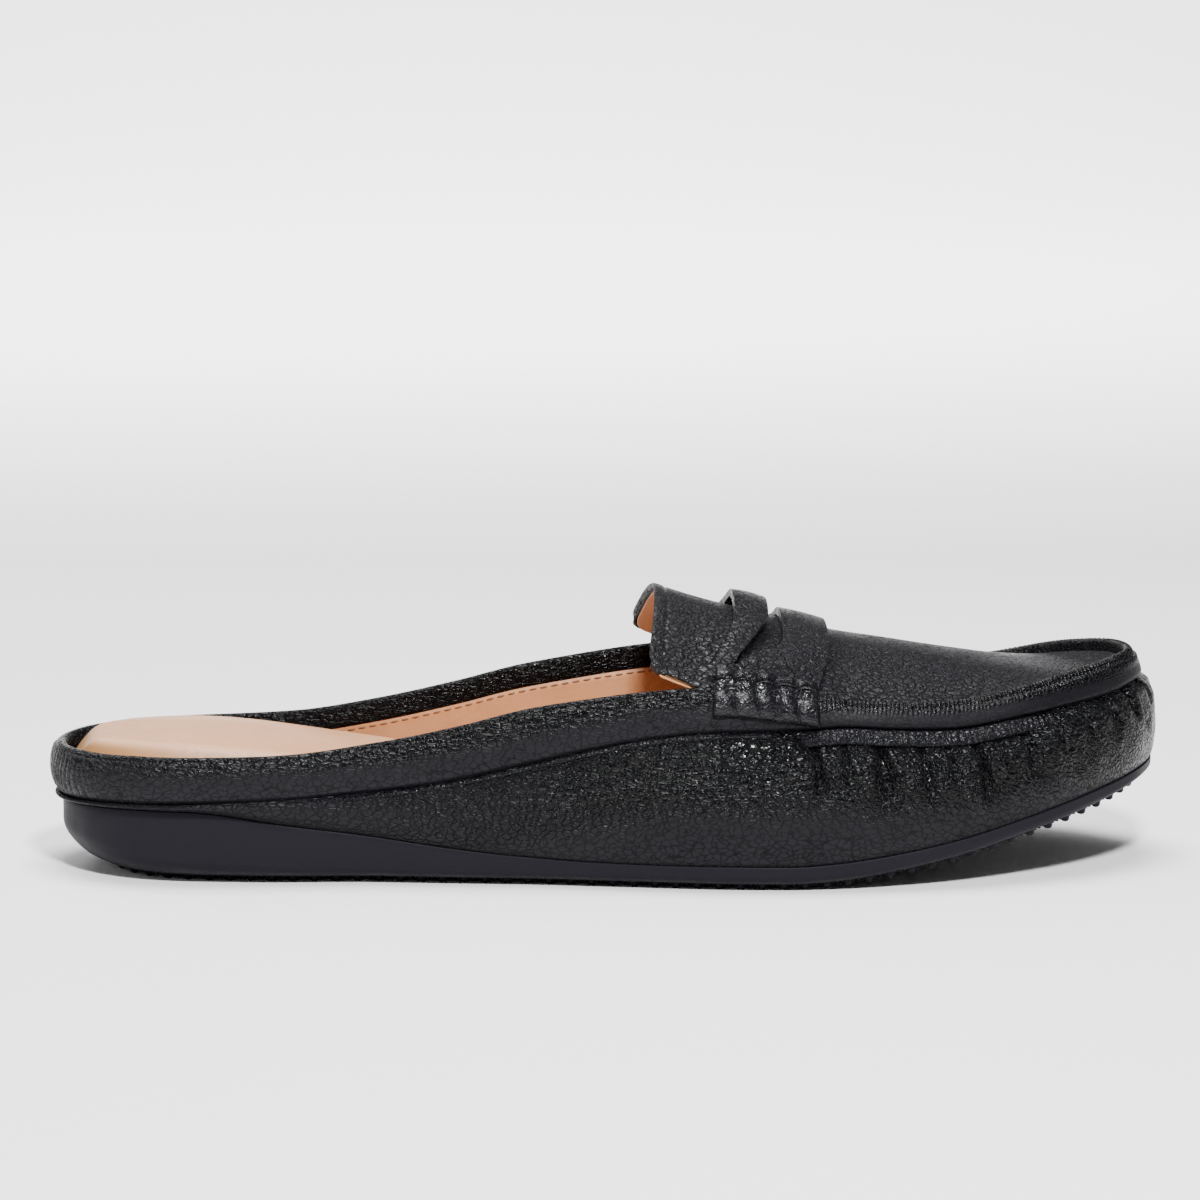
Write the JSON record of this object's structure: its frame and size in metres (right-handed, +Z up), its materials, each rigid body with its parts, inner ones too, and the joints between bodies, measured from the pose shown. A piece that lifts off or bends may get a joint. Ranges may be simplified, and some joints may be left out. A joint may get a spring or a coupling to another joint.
{
  "type": "backless penny loafer",
  "caption": "Backless moccasin-style loafer, right shoe, pebbled leather upper with a slotted saddle strap on a low studded rubber wedge.",
  "frame": {"origin": "on the floor plane under the stud tips, at the middle of the shoe's bounding box", "axes": "+X to the toe, +Y to the inner (big toe) side of this right shoe, +Z up"},
  "size_m": [0.2578, 0.0894, 0.0653],
  "materials": {
    "black_leather": "pebbled, semi-gloss",
    "black_rubber": "smooth satin",
    "tan_leather": "smooth, soft sheen"
  },
  "bodies": {
    "root": {"outsole": "black_rubber", "upper": "black_leather", "insole": "tan_leather", "saddle_strap": "black_leather", "beef_roll_lateral": "black_leather", "beef_roll_medial": "black_leather"}
  },
  "joints": []
}
